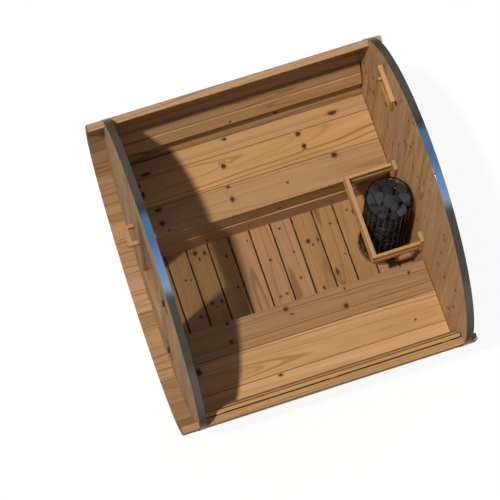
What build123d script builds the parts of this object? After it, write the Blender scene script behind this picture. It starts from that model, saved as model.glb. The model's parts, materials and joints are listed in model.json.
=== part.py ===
from build123d import *
from math import atan2, cos, degrees, radians, sin, sqrt, tan
import os

# Barrel sauna with its upper staves left off, so that the cabin shows from above.
# The barrel's axis runs along Y and the door faces -Y. The origin lies on the ground
# under the middle of the barrel. The pieces are built about the axis and raised last.

# Barrel of staves
STAVE_RADIUS = 950.0
STAVE_COUNT = 48
STAVES_LEFT_OF_BOTTOM = 15
STAVES_RIGHT_OF_BOTTOM = 11
STAVE_THICKNESS = 40.0
BARREL_LENGTH = 1800.0
BEAD_HEIGHT = 5.0
BEAD_START_SHARE = 0.22
CROZE_DEPTH = 10.0
CLEARANCE = 0.3

# End walls and hoops
WALL_THICKNESS = 40.0
FRONT_OVERHANG = 97.0
BACK_OVERHANG = 44.0
HOOP_WIDTH = 44.0
HOOP_THICKNESS = 2.0

# Cradles under the barrel
CRADLE_HALF_WIDTH = 600.0
CRADLE_THICKNESS = 70.0
CRADLE_HEIGHT = 250.0
CRADLE_SEAT_HEIGHT = 60.0
CRADLE_SPREAD = 560.0
CRADLE_CHAMFER = 60.0

# Floor
FLOOR_RISE = 172.7
FLOOR_BOARD_THICKNESS = 26.0
FLOOR_PITCH = 136.4
FLOOR_GAP = 9.0
FIRST_FLOOR_BOARD = 126.0
FLOOR_END_GAP = 3.0
BEARER_OFFSET = 250.0
BEARER_WIDTH = 45.0

# Benches
BENCH_HEIGHT = 381.0
BENCH_BACK_GAP = 10.9
BENCH_BOARD_WIDTHS = (198.0, 196.0, 102.0)
BENCH_BOARD_GAP = 3.0
BENCH_BOARD_THICKNESS = 28.0
BENCH_END_GAP = 4.0
APRON_SETBACK = 5.0
APRON_THICKNESS = 20.0
APRON_SPLIT_HEIGHT = 180.0
APRON_GAP = 3.0
BATTEN = 45.0
BATTEN_PLACE_SHARES = (0.06, 0.5, 0.94)

# Backrests
BACKREST_RISE = 155.0
BACKREST_HEIGHT = 161.0
BACKREST_LOWER_BOARD = 92.0
BACKREST_BOARD_GAP = 10.0
BACKREST_SETBACK = 4.0
BACKREST_THICKNESS = 19.0
BACKREST_END_GAP = 10.0
BACKREST_STAVE_GAP = 1.5
BACKREST_BATTEN_DEPTH = 38.8

# Heater
HEATER_X = 20.0
HEATER_WALL_GAP = 12.0
HEATER_RADIUS = 140.0
HEATER_HEIGHT = 835.0
HEATER_PLATE_RADIUS = 146.0
HEATER_PLATE_THICKNESS = 10.0
HEATER_PLATE_CHAMFER = 3.0
CAGE_BAR = 5.0
CAGE_ROD_COUNT = 24
CAGE_RING_COUNT = 10
STONE_CLEARANCE = 1.0
STONE_CROWN = 30.0

# Guard round the heater
GUARD_HALF_WIDTH = 269.0
GUARD_REACH = 322.0
GUARD_DROP = 248.0
GUARD_FRONT_THICKNESS = 27.0
GUARD_SIDE_THICKNESS = 18.0
GUARD_RAIL_HEIGHT = 45.0
GUARD_RAIL_GAP = 22.0
GUARD_POST_WIDTH = 64.0
GUARD_POST_DEPTH = 24.0
GUARD_POST_OVERHANG = 36.0

# Vent with a sliding panel
VENT_RIM_GAP = 62.0
VENT_CORNER_ANGLE = 47.16
VENT_JOINT_GAP = 44.0
VENT_LENGTH = 236.0
VENT_HEIGHT = 150.0
VENT_RAIL = 25.0
VENT_LIP = 9.0
VENT_PANEL_THICKNESS = 12.0
VENT_PANEL_LENGTH = 104.0
VENT_STOP_GAP = 5.0
VENT_HOLE_LENGTH = 56.0
VENT_HOLE_HEIGHT = 70.0
VENT_HOLE_MARGIN = 6.0
KNOB_RADIUS = 11.0
KNOB_LENGTH = 24.0
KNOB_PLACE_SHARE = 0.2

# Door
DOORWAY_HALF_WIDTH = 340.0
THRESHOLD_HEIGHT = 35.0
HEADER_HEIGHT = 180.0
DOOR_GAP = 6.0
DOOR_FREE_EDGE_GAP = 9.0
STILE_WIDTH = 140.0
TOP_RAIL_HEIGHT = 145.0
BOTTOM_RAIL_HEIGHT = 189.0
GLASS_THICKNESS = 8.0
GLASS_REBATE = 12.0

# Door handles
HANDLE_LENGTH = 132.0
HANDLE_INSET = 11.0
HANDLE_BAR = 28.0
HANDLE_REACH = 66.0
HANDLE_ARM_WIDTH = 24.0
HANDLE_RISE = 744.0
HANDLE_ROUND = 6.0

# Door hinges
HINGE_PIN_RADIUS = 4.0
HINGE_KNUCKLE_RADIUS = 8.0
HINGE_KNUCKLE_LENGTH = 90.0
HINGE_LEAF_THICKNESS = 3.0
HINGE_LEAF_REACH = 60.0
HINGE_RISE = 224.0
HINGE_DROP = 244.0

# Worked out from the sizes above
HALF_ANGLE = 180.0 / STAVE_COUNT
OUTER_FLAT = STAVE_RADIUS * cos(radians(HALF_ANGLE))
INNER_FLAT = OUTER_FLAT - STAVE_THICKNESS
INNER_FIT = INNER_FLAT - CLEARANCE
AXIS_HEIGHT = STAVE_RADIUS + CRADLE_SEAT_HEIGHT
FRONT_END = -BARREL_LENGTH / 2
BACK_END = BARREL_LENGTH / 2
FRONT_OUT = FRONT_END + FRONT_OVERHANG
FRONT_IN = FRONT_OUT + WALL_THICKNESS
BACK_OUT = BACK_END - BACK_OVERHANG
BACK_IN = BACK_OUT - WALL_THICKNESS
LEFT_CUT = 180.0 + HALF_ANGLE + 2 * HALF_ANGLE * STAVES_LEFT_OF_BOTTOM
RIGHT_CUT = 180.0 - HALF_ANGLE - 2 * HALF_ANGLE * STAVES_RIGHT_OF_BOTTOM
FLOOR_TOP = FLOOR_RISE - INNER_FIT
FLOOR_UNDER = FLOOR_TOP - FLOOR_BOARD_THICKNESS
BENCH_TOP = FLOOR_TOP + BENCH_HEIGHT
BENCH_UNDER = BENCH_TOP - BENCH_BOARD_THICKNESS
BENCH_WIDTH = sum(BENCH_BOARD_WIDTHS) + BENCH_BOARD_GAP * (len(BENCH_BOARD_WIDTHS) - 1)
BENCH_FRONT = sqrt(INNER_FIT**2 - BENCH_UNDER**2) - BENCH_BACK_GAP - BENCH_WIDTH
APRON_BACK = BENCH_FRONT + APRON_SETBACK + APRON_THICKNESS
APRON_SPLIT = FLOOR_TOP + APRON_SPLIT_HEIGHT
BACKREST_BOTTOM = BENCH_TOP + BACKREST_RISE
BACKREST_TOP = BACKREST_BOTTOM + BACKREST_HEIGHT
VENT_LEFT = -(INNER_FIT - VENT_RIM_GAP) * sin(radians(VENT_CORNER_ANGLE))
VENT_TOP = (INNER_FIT - VENT_RIM_GAP) * cos(radians(VENT_CORNER_ANGLE))
BACK_PANEL_HALF_WIDTH = -VENT_LEFT - VENT_LENGTH - VENT_JOINT_GAP
DOORWAY_BOTTOM = FLOOR_TOP + THRESHOLD_HEIGHT
DOORWAY_TOP = STAVE_RADIUS - HEADER_HEIGHT
OVERRUN = BARREL_LENGTH
HEATER_Y = BACK_IN - HEATER_WALL_GAP - HEATER_RADIUS
DOOR_LEFT = -DOORWAY_HALF_WIDTH + DOOR_FREE_EDGE_GAP
DOOR_RIGHT = DOORWAY_HALF_WIDTH - DOOR_GAP
DOOR_BOTTOM = DOORWAY_BOTTOM + DOOR_GAP
DOOR_TOP = DOORWAY_TOP - DOOR_GAP
PANE_LEFT = DOOR_LEFT + STILE_WIDTH
PANE_RIGHT = DOOR_RIGHT - STILE_WIDTH
PANE_BOTTOM = DOOR_BOTTOM + BOTTOM_RAIL_HEIGHT
PANE_TOP = DOOR_TOP - TOP_RAIL_HEIGHT


def block(x_from, x_to, y_from, y_to, z_from, z_to):
    """A box between two corners."""
    size = (x_to - x_from, y_to - y_from, z_to - z_from)
    middle = ((x_from + x_to) / 2, (y_from + y_to) / 2, (z_from + z_to) / 2)
    return Pos(*middle) * Box(*size)


def along(profile, y_from, y_to):
    """A profile drawn across the barrel, carried from one place along it to another."""
    return Pos(0, y_from, 0) * extrude(Plane.XZ * profile, amount=y_to - y_from, dir=(0, 1, 0))


def at_angle(radius, angle):
    """The point across the barrel at an angle from the top towards +X."""
    return (radius * sin(radians(angle)), radius * cos(radians(angle)))


def cabin():
    """The space inside the staves, as a plain cylinder that what stands there is trimmed to."""
    return along(Circle(INNER_FIT), FRONT_END, BACK_END)


def stave_profile():
    """One flat plank with a bead on its right edge and a cove on its left."""
    def edge(side):
        slope = tan(radians(HALF_ANGLE))
        shares = (0, BEAD_START_SHARE, 1 - BEAD_START_SHARE, 1)
        depths = [OUTER_FLAT - share * STAVE_THICKNESS for share in shares]
        return [(side * (depth * slope - CLEARANCE / 2), depth) for depth in depths]

    def crown(start, end):
        return ((start[0] + end[0]) / 2 + BEAD_HEIGHT, (start[1] + end[1]) / 2)

    right = edge(1)
    left = edge(-1)
    outline = [
        Line(left[0], right[0]),
        Line(right[0], right[1]),
        ThreePointArc(right[1], crown(right[1], right[2]), right[2]),
        Line(right[2], right[3]),
        Line(right[3], left[3]),
        Line(left[3], left[2]),
        ThreePointArc(left[2], crown(left[2], left[1]), left[1]),
        Line(left[1], left[0]),
    ]
    return make_face(Wire(outline))


def top_stave():
    """A stave at the top of the barrel, with the two grooves that hold the end walls."""
    plank = along(stave_profile(), FRONT_END, BACK_END)
    groove_top = INNER_FLAT + CROZE_DEPTH
    for wall_from, wall_to in ((FRONT_OUT, FRONT_IN), (BACK_IN, BACK_OUT)):
        plank -= block(
            -STAVE_RADIUS, STAVE_RADIUS, wall_from - CLEARANCE, wall_to + CLEARANCE, 0, groove_top
        )
    return plank


def staves():
    """The staves that are there, in two sets of every second one."""
    plank = top_stave()
    beyond_edge = block(-CLEARANCE / 2, STAVE_RADIUS, FRONT_END, BACK_END, 0, STAVE_RADIUS)
    planed_plank = plank - Rot(0, HALF_ANGLE, 0) * beyond_edge
    sets = ([], [])
    for place in range(-STAVES_RIGHT_OF_BOTTOM, STAVES_LEFT_OF_BOTTOM + 1):
        turn = 180.0 + 2 * HALF_ANGLE * place
        is_last = place == STAVES_LEFT_OF_BOTTOM
        sets[place % 2].append(Rot(0, turn, 0) * (planed_plank if is_last else plank))
    return {"staves_even": sets[0], "staves_odd": sets[1]}


def wall_profile():
    """The end walls' outline: in the grooves below, and out to the hoop where no stave is."""
    slack = CLEARANCE / radians(1) / INNER_FLAT
    sweep = 360.0 + RIGHT_CUT - LEFT_CUT
    step_shares = (0, 0.25, 0.5, 0.75, 1)
    start = LEFT_CUT + slack
    rays = [at_angle(OVERRUN, start + share * (sweep - 2 * slack)) for share in step_shares]
    open_sector = make_face(Polyline((0, 0), *rays, close=True))
    rim = Circle(STAVE_RADIUS - CLEARANCE) & open_sector
    return Circle(INNER_FIT + CROZE_DEPTH) + rim


def band(x_from, x_to, z_from, z_to):
    """A flat rectangle across the barrel, to cut a profile with."""
    return Pos((x_from + x_to) / 2, (z_from + z_to) / 2) * Rectangle(x_to - x_from, z_to - z_from)


def front_wall():
    """The front wall beside, over and under the doorway."""
    outline = wall_profile()
    half = DOORWAY_HALF_WIDTH
    cuts = {
        "front_wall_left": band(-OVERRUN, -half, -OVERRUN, OVERRUN),
        "front_wall_right": band(half, OVERRUN, -OVERRUN, OVERRUN),
        "front_wall_top": band(-half, half, DOORWAY_TOP, OVERRUN),
        "front_wall_sill": band(-half, half, -OVERRUN, DOORWAY_BOTTOM),
    }
    return {name: [along(outline & cut, FRONT_OUT, FRONT_IN)] for name, cut in cuts.items()}


def vent_hole_left():
    """Where the vent's hole starts: at the right of its frame, clear of the open panel."""
    panel_limit = VENT_LEFT + VENT_LENGTH - VENT_RAIL - VENT_STOP_GAP
    return panel_limit - VENT_HOLE_MARGIN - VENT_HOLE_LENGTH


def vent_middle():
    """Height of the middle of the vent."""
    return VENT_TOP - VENT_HEIGHT / 2


def back_wall():
    """The back wall in three panels of upright boards, with the vent's hole."""
    outline = wall_profile()
    half = BACK_PANEL_HALF_WIDTH
    hole_left = vent_hole_left()
    hole = band(
        hole_left,
        hole_left + VENT_HOLE_LENGTH,
        vent_middle() - VENT_HOLE_HEIGHT / 2,
        vent_middle() + VENT_HOLE_HEIGHT / 2,
    )
    cuts = {
        "back_wall_left": band(-OVERRUN, -half, -OVERRUN, OVERRUN) - hole,
        "back_wall_middle": band(-half, half, -OVERRUN, OVERRUN),
        "back_wall_right": band(half, OVERRUN, -OVERRUN, OVERRUN),
    }
    return {name: [along(outline & cut, BACK_IN, BACK_OUT)] for name, cut in cuts.items()}


def hoop(wall_from, wall_to):
    """A steel hoop over an end wall."""
    inside = STAVE_RADIUS + CLEARANCE
    ring = Circle(inside + HOOP_THICKNESS) - Circle(inside)
    middle = (wall_from + wall_to) / 2
    return along(ring, middle - HOOP_WIDTH / 2, middle + HOOP_WIDTH / 2)


def cradle(middle):
    """A timber under the barrel, hollowed to its round."""
    half = CRADLE_HALF_WIDTH
    horn = CRADLE_HEIGHT - AXIS_HEIGHT
    outline = make_face(
        Polyline(
            (-half, -AXIS_HEIGHT),
            (half, -AXIS_HEIGHT),
            (half, horn - CRADLE_CHAMFER),
            (half - CRADLE_CHAMFER / 2, horn),
            (CRADLE_CHAMFER / 2 - half, horn),
            (-half, horn - CRADLE_CHAMFER),
            close=True,
        )
    )
    seat = outline - Circle(STAVE_RADIUS + CLEARANCE)
    return along(seat, middle - CRADLE_THICKNESS / 2, middle + CRADLE_THICKNESS / 2)


def floor():
    """Boards across the cabin with open joints, on two bearers."""
    half = sqrt(INNER_FIT**2 - FLOOR_UNDER**2) - FLOOR_END_GAP
    boards = []
    start = FRONT_IN + FLOOR_END_GAP
    joint = FRONT_IN + FIRST_FLOOR_BOARD
    last = BACK_IN - FLOOR_END_GAP
    while start < last:
        end = min(joint - FLOOR_GAP / 2, last)
        boards.append(block(-half, half, start, end, FLOOR_UNDER, FLOOR_TOP))
        start = joint + FLOOR_GAP / 2
        joint += FLOOR_PITCH
    bearers = []
    for side in (-1, 1):
        middle = side * BEARER_OFFSET
        timber = block(
            middle - BEARER_WIDTH / 2,
            middle + BEARER_WIDTH / 2,
            FRONT_IN + FLOOR_END_GAP,
            BACK_IN - FLOOR_END_GAP,
            -STAVE_RADIUS,
            FLOOR_UNDER,
        )
        bearers.append(timber & cabin())
    return {"floor_boards": boards, "floor_bearers": bearers}


def batten_places():
    """Where the battens under a bench and behind a backrest stand along the cabin."""
    return [FRONT_IN + share * (BACK_IN - FRONT_IN) for share in BATTEN_PLACE_SHARES]


def right_bench():
    """The bench on the +X side: seat boards, two apron boards, bearers and posts."""
    start = FRONT_IN + BENCH_END_GAP
    end = BACK_IN - BENCH_END_GAP
    boards = []
    edge = BENCH_FRONT
    for width in BENCH_BOARD_WIDTHS:
        boards.append(block(edge, edge + width, start, end, BENCH_UNDER, BENCH_TOP))
        edge += width + BENCH_BOARD_GAP
    upper = block(
        BENCH_FRONT + APRON_SETBACK, APRON_BACK, start, end, APRON_SPLIT + APRON_GAP, BENCH_UNDER
    )
    lower = block(BENCH_FRONT, APRON_BACK, start, end, FLOOR_TOP, APRON_SPLIT)
    bearers = []
    posts = []
    for place in batten_places():
        y_from = place - BATTEN / 2
        y_to = place + BATTEN / 2
        timber = block(APRON_BACK, STAVE_RADIUS, y_from, y_to, BENCH_UNDER - BATTEN, BENCH_UNDER)
        bearers.append(timber & cabin())
        posts.append(
            block(APRON_BACK, APRON_BACK + BATTEN, y_from, y_to, FLOOR_TOP, BENCH_UNDER - BATTEN)
        )
    return {"boards": boards, "aprons": [upper, lower], "bearers": bearers, "posts": posts}


def right_backrest():
    """Two leaning boards on battens that fill in to the round of the staves, cut level at the top."""
    head = sqrt((INNER_FIT - BACKREST_STAVE_GAP) ** 2 - BACKREST_TOP**2)
    foot = sqrt(INNER_FIT**2 - BACKREST_BOTTOM**2) - BACKREST_BATTEN_DEPTH
    lean = atan2(head - foot, BACKREST_HEIGHT)
    seat = Pos(foot - BACKREST_THICKNESS / cos(lean), 0, BACKREST_BOTTOM) * Rot(0, degrees(lean), 0)
    start = FRONT_IN + BACKREST_END_GAP
    end = BACK_IN - BACKREST_END_GAP
    below_top = block(0, STAVE_RADIUS, FRONT_END, BACK_END, -STAVE_RADIUS, BACKREST_TOP)
    upper_from = BACKREST_LOWER_BOARD + BACKREST_BOARD_GAP
    lower = block(
        -BACKREST_SETBACK, BACKREST_THICKNESS - BACKREST_SETBACK, start, end, 0, BACKREST_LOWER_BOARD
    )
    upper = block(0, BACKREST_THICKNESS, start, end, upper_from, STAVE_RADIUS)
    battens = []
    for place in batten_places():
        y_from = place - BATTEN / 2
        y_to = place + BATTEN / 2
        timber = block(BACKREST_THICKNESS, STAVE_RADIUS, y_from, y_to, 0, STAVE_RADIUS)
        timber += block(
            BACKREST_THICKNESS - BACKREST_SETBACK, STAVE_RADIUS, y_from, y_to, 0, BACKREST_LOWER_BOARD
        )
        battens.append(seat * timber & cabin() & below_top)
    return {"boards": [seat * lower, seat * upper & below_top], "battens": battens}


def benches():
    """Both benches and backrests, the left ones mirrored from the right."""
    nodes = {}
    for group, pieces in (("bench", right_bench()), ("backrest", right_backrest())):
        for name, solids in pieces.items():
            nodes[f"{group}_right_{name}"] = solids
            nodes[f"{group}_left_{name}"] = [mirror(solid, Plane.YZ) for solid in solids]
    return nodes


def heater():
    """A round heater: base plate, cage of rods and rings, and the stones in it."""
    foot = Pos(HEATER_X, HEATER_Y, FLOOR_TOP)
    plate = Cylinder(
        HEATER_PLATE_RADIUS, HEATER_PLATE_THICKNESS, align=(Align.CENTER, Align.CENTER, Align.MIN)
    )
    plate = chamfer(plate.edges().group_by(Axis.Z)[-1], HEATER_PLATE_CHAMFER)
    cage_height = HEATER_HEIGHT - HEATER_PLATE_THICKNESS
    rod_pitch = 360.0 / CAGE_ROD_COUNT
    flat_turn = rod_pitch / 2
    ring_radius = HEATER_RADIUS - CAGE_BAR
    ring_hole = ring_radius - CAGE_BAR
    ring_profile = RegularPolygon(ring_radius, CAGE_ROD_COUNT, major_radius=False, rotation=flat_turn)
    ring_profile -= RegularPolygon(ring_hole, CAGE_ROD_COUNT, major_radius=False, rotation=flat_turn)
    ring = extrude(ring_profile, amount=CAGE_BAR)
    bars = []
    for level in range(CAGE_RING_COUNT):
        rise = level * (cage_height - CAGE_BAR) / (CAGE_RING_COUNT - 1)
        bars.append(Pos(0, 0, rise) * ring)
    rod = Pos(ring_radius + CAGE_BAR / 2, 0, cage_height / 2) * Box(CAGE_BAR, CAGE_BAR, cage_height)
    for step in range(CAGE_ROD_COUNT):
        bars.append(Rot(0, 0, step * rod_pitch) * rod)
    cage = bars[0] + bars[1:]
    stones = Cylinder(
        ring_hole - STONE_CLEARANCE, cage_height, align=(Align.CENTER, Align.CENTER, Align.MIN)
    )
    stones = chamfer(stones.edges().group_by(Axis.Z)[-1], STONE_CROWN)
    on_plate = foot * Pos(0, 0, HEATER_PLATE_THICKNESS)
    return {
        "heater_base_plate": [foot * plate],
        "heater_cage": [on_plate * cage],
        "heater_stones": [on_plate * stones],
    }


def guard():
    """Two levels of rails on three sides of the heater, held by two posts on the back wall."""
    half = GUARD_HALF_WIDTH
    front = BACK_IN - GUARD_REACH
    front_back = front + GUARD_FRONT_THICKNESS
    post_face = BACK_IN - GUARD_POST_DEPTH
    guard_top = FLOOR_TOP + HEATER_HEIGHT - GUARD_DROP
    guard_bottom = guard_top - 2 * GUARD_RAIL_HEIGHT - GUARD_RAIL_GAP
    fronts = []
    sides = []
    for level in range(2):
        top = guard_top - level * (GUARD_RAIL_HEIGHT + GUARD_RAIL_GAP)
        bottom = top - GUARD_RAIL_HEIGHT
        fronts.append(block(-half, half, front, front_back, bottom, top))
        for x_from in (-half, half - GUARD_SIDE_THICKNESS):
            x_to = x_from + GUARD_SIDE_THICKNESS
            sides.append(block(x_from, x_to, front_back, post_face, bottom, top))
    low = guard_bottom - GUARD_POST_OVERHANG
    high = guard_top + GUARD_POST_OVERHANG
    posts = []
    for x_from in (-half, half - GUARD_POST_WIDTH):
        posts.append(block(x_from, x_from + GUARD_POST_WIDTH, post_face, BACK_IN, low, high))
    return {"guard_front_rails": fronts, "guard_side_rails": sides, "guard_posts": posts}


def vent():
    """Two lipped rails and two end stops on the back wall, and the panel that slides in them."""
    left = VENT_LEFT
    right = VENT_LEFT + VENT_LENGTH
    top = VENT_TOP
    bottom = VENT_TOP - VENT_HEIGHT
    face = BACK_IN - VENT_RAIL
    panel_back = BACK_IN - CLEARANCE
    panel_face = panel_back - VENT_PANEL_THICKNESS
    panel_low = bottom + VENT_RAIL - VENT_LIP
    panel_high = top - VENT_RAIL + VENT_LIP
    channel = block(
        left, right, panel_face - CLEARANCE, BACK_IN, panel_low - CLEARANCE, panel_high + CLEARANCE
    )
    rails = [
        block(left, right, face, BACK_IN, top - VENT_RAIL, top) - channel,
        block(left, right, face, BACK_IN, bottom, bottom + VENT_RAIL) - channel,
    ]
    stops = [
        block(x_from, x_from + VENT_RAIL, face, BACK_IN, bottom + VENT_RAIL, top - VENT_RAIL)
        for x_from in (left, right - VENT_RAIL)
    ]
    panel_left = left + VENT_RAIL + VENT_STOP_GAP
    panel_right = panel_left + VENT_PANEL_LENGTH
    panel = block(panel_left, panel_right, panel_face, panel_back, panel_low, panel_high)
    knob_x = panel_left + KNOB_PLACE_SHARE * VENT_PANEL_LENGTH
    knob = Pos(knob_x, panel_face, vent_middle()) * (
        Rot(90, 0, 0) * Cylinder(KNOB_RADIUS, KNOB_LENGTH, align=(Align.CENTER, Align.CENTER, Align.MIN))
    )
    return {"vent_rails": rails, "vent_stops": stops, "vent_panel": [panel], "vent_knob": [knob]}


def door_leaf():
    """A frame of two stiles and two rails, grooved for the pane."""
    middle = (FRONT_OUT + FRONT_IN) / 2
    half_groove = GLASS_THICKNESS / 2 + CLEARANCE
    groove = block(
        PANE_LEFT - GLASS_REBATE - CLEARANCE,
        PANE_RIGHT + GLASS_REBATE + CLEARANCE,
        middle - half_groove,
        middle + half_groove,
        PANE_BOTTOM - GLASS_REBATE - CLEARANCE,
        PANE_TOP + GLASS_REBATE + CLEARANCE,
    )
    boards = {
        "door_left_stile": (DOOR_LEFT, PANE_LEFT, DOOR_BOTTOM, DOOR_TOP),
        "door_right_stile": (PANE_RIGHT, DOOR_RIGHT, DOOR_BOTTOM, DOOR_TOP),
        "door_bottom_rail": (PANE_LEFT, PANE_RIGHT, DOOR_BOTTOM, PANE_BOTTOM),
        "door_top_rail": (PANE_LEFT, PANE_RIGHT, PANE_TOP, DOOR_TOP),
    }
    nodes = {}
    for name, (x_from, x_to, z_from, z_to) in boards.items():
        nodes[name] = [block(x_from, x_to, FRONT_OUT, FRONT_IN, z_from, z_to) - groove]
    pane = block(
        PANE_LEFT - GLASS_REBATE,
        PANE_RIGHT + GLASS_REBATE,
        middle - GLASS_THICKNESS / 2,
        middle + GLASS_THICKNESS / 2,
        PANE_BOTTOM - GLASS_REBATE,
        PANE_TOP + GLASS_REBATE,
    )
    nodes["door_glass"] = [pane]
    return nodes


def handle(face, outwards):
    """A wooden grip on two arms, standing off one face of the door's left stile."""
    middle = DOOR_LEFT + HANDLE_INSET + HANDLE_LENGTH / 2
    profile = Pos(middle, outwards * HANDLE_REACH / 2) * Rectangle(HANDLE_LENGTH, HANDLE_REACH)
    gap_length = HANDLE_LENGTH - 2 * HANDLE_ARM_WIDTH
    gap_reach = HANDLE_REACH - HANDLE_BAR
    profile -= Pos(middle, outwards * gap_reach / 2) * Rectangle(gap_length, gap_reach)
    loop = extrude(profile, amount=HANDLE_BAR / 2, both=True)
    outer = loop.edges().filter_by(Axis.Z).group_by(Axis.Y)[0 if outwards < 0 else -1]
    loop = fillet(outer, HANDLE_ROUND)
    return Pos(0, face, DOOR_BOTTOM + HANDLE_RISE) * loop


def hinge(height):
    """A butt hinge on the outer face: the door's leaf above, the wall's leaf and pin below."""
    pin_y = FRONT_OUT - HINGE_KNUCKLE_RADIUS
    pin_x = DOORWAY_HALF_WIDTH - DOOR_GAP / 2
    half = HINGE_KNUCKLE_LENGTH / 2
    base = (Align.CENTER, Align.CENTER, Align.MIN)
    barrel = Cylinder(HINGE_KNUCKLE_RADIUS, half - CLEARANCE, align=base)
    pin = Cylinder(HINGE_PIN_RADIUS, HINGE_KNUCKLE_LENGTH, align=base)
    bore = Cylinder(HINGE_PIN_RADIUS + CLEARANCE, HINGE_KNUCKLE_LENGTH, align=base)
    plate_face = FRONT_OUT - HINGE_LEAF_THICKNESS
    door_plate = block(
        pin_x - HINGE_LEAF_REACH, pin_x, plate_face, FRONT_OUT, height + CLEARANCE, height + half
    )
    wall_plate = block(pin_x, pin_x + HINGE_LEAF_REACH, plate_face, FRONT_OUT, height - half, height)
    upper = Pos(pin_x, pin_y, height + CLEARANCE)
    lower = Pos(pin_x, pin_y, height - half)
    door_leaf_side = door_plate + upper * barrel - lower * bore
    wall_leaf_side = wall_plate + lower * Cylinder(HINGE_KNUCKLE_RADIUS, half, align=base) + lower * pin
    return door_leaf_side, wall_leaf_side


def door_fittings():
    """The two handles and the two hinges."""
    pairs = [hinge(DOOR_BOTTOM + HINGE_RISE), hinge(DOOR_TOP - HINGE_DROP)]
    return {
        "outside_handle": [handle(FRONT_OUT, -1)],
        "inside_handle": [handle(FRONT_IN, 1)],
        "door_hinge_leaves": [pair[0] for pair in pairs],
        "wall_hinge_leaves": [pair[1] for pair in pairs],
    }


nodes = {
    **staves(),
    **front_wall(),
    **back_wall(),
    "front_hoop": [hoop(FRONT_OUT, FRONT_IN)],
    "back_hoop": [hoop(BACK_IN, BACK_OUT)],
    "front_cradle": [cradle(-CRADLE_SPREAD)],
    "back_cradle": [cradle(CRADLE_SPREAD)],
    **floor(),
    **benches(),
    **heater(),
    **guard(),
    **vent(),
    **door_leaf(),
    **door_fittings(),
}

os.makedirs("parts", exist_ok=True)
for name, solids in nodes.items():
    raised = [Pos(0, 0, AXIS_HEIGHT) * solid for solid in solids]
    export_step(Compound(children=raised), f"parts/{name}.step")
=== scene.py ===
import json
import random
from math import ceil, cos, pi, radians, sin, tau

import bmesh
import bpy
from mathutils import Matrix, Vector
from mathutils.bvhtree import BVHTree


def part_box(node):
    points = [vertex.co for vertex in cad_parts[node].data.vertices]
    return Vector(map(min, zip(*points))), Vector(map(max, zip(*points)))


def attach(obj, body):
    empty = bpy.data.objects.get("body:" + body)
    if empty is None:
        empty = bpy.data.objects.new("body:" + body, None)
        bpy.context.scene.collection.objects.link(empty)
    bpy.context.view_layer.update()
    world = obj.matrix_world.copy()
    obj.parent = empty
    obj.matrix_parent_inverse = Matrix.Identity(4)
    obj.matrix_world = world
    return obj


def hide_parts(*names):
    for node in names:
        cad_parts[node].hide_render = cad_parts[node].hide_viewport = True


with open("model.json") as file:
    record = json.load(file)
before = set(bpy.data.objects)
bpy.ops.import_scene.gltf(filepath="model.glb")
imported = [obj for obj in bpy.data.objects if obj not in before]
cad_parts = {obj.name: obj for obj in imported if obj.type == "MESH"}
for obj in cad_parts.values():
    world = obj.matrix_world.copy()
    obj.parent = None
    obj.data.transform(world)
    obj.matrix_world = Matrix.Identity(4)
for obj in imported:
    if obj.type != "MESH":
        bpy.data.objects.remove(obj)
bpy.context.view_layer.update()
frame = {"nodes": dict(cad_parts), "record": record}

# A barrel sauna with its upper staves left off. Lengths are in metres, in the part's own frame.
MM = 0.001
BODY_OF = {n: body for body, nodes in frame["record"]["behaviour"]["bodies"].items() for n in nodes}
SLOT_OF = {row["node"]: row["material_slot"] for row in frame["record"]["subparts"]}
WORLD_AXES = (Vector((1, 0, 0)), Vector((0, 1, 0)), Vector((0, 0, 1)))

# Joinery
WELD = 0.02 * MM
FLAT_ANGLE = radians(1)
SHARP_ANGLE = radians(50)
CREASE_ANGLE = radians(10)
EASED_EDGE = 2 * MM
BOARDS_OVER_DOOR = 7
BOARD_JOINT = 0.8 * MM
BOARD_CHAMFER = 1.8 * MM
NARROWEST_BOARD = 5 * MM
STAVE_CHAMFER = 2.6 * MM
STAVE_LIGHT = (0.87, 1.08)
LONG_CORNER = 60 * MM
# Cosines that sort a board's faces: along the grain, square to it, and straight in or out of the barrel
SIDE_COSINE = 0.3
END_COSINE = 0.8
OUTWARD_COSINE = 0.95

# Hoops and hinge screws
HOOP_THICKNESS = 2 * MM
HOOP_EDGE = 0.4 * MM
HOOP_STEPS = 180
FRONT_COSINE = 0.99
SCREW_HEAD = 4 * MM
SCREW_RISE = 1.2 * MM
SCREW_SIDES = 18
SCREW_PLACE_SHARES = (0.25, 0.75)
SCREW_TOP_SHARE = 0.8
SCREW_RIM_SHARE = 0.3
SCREW_DISH_SHARE = 0.5

# Heater
CAGE_BAR = 5 * MM
CAGE_RODS = 24
CAGE_RINGS = 13
RING_INSET_SHARE = 1.4
WIRE_SIDES = 8
RING_STEPS = 72
STONE_SEED = "stones 4"
STONE_FLATS = 9
STONE_FLAT_SPREAD = (1, 1, 0.6)
STONE_FLAT_SHARES = (0.58, 0.86)
STONE_STRETCH = ((1.05, 1.45), (0.95, 1.15), (0.8, 1.0))
STONE_ROW = 66 * MM
STONE_ROW_START_SHARE = 0.6
STONES_PER_ROW = 11
STONE_STRAY = 0.2
STONE_MM = (34, 42)
STONE_INSET_SHARE = 1.15
# The top layer: each ring's share of the reach, its stones and how far it is turned
TOP_RINGS = ((0.0, 1, 0.0), (0.43, 5, 0.2), (0.8, 10, 0.0))
TOP_STRAY = 0.15
TOP_STONE_MM = (31, 40)
TOP_DROP_MM = (4, 26)
TOP_LEAN = 0.7
TOP_FLAT_SHARES = (0.55, 0.75)

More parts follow.
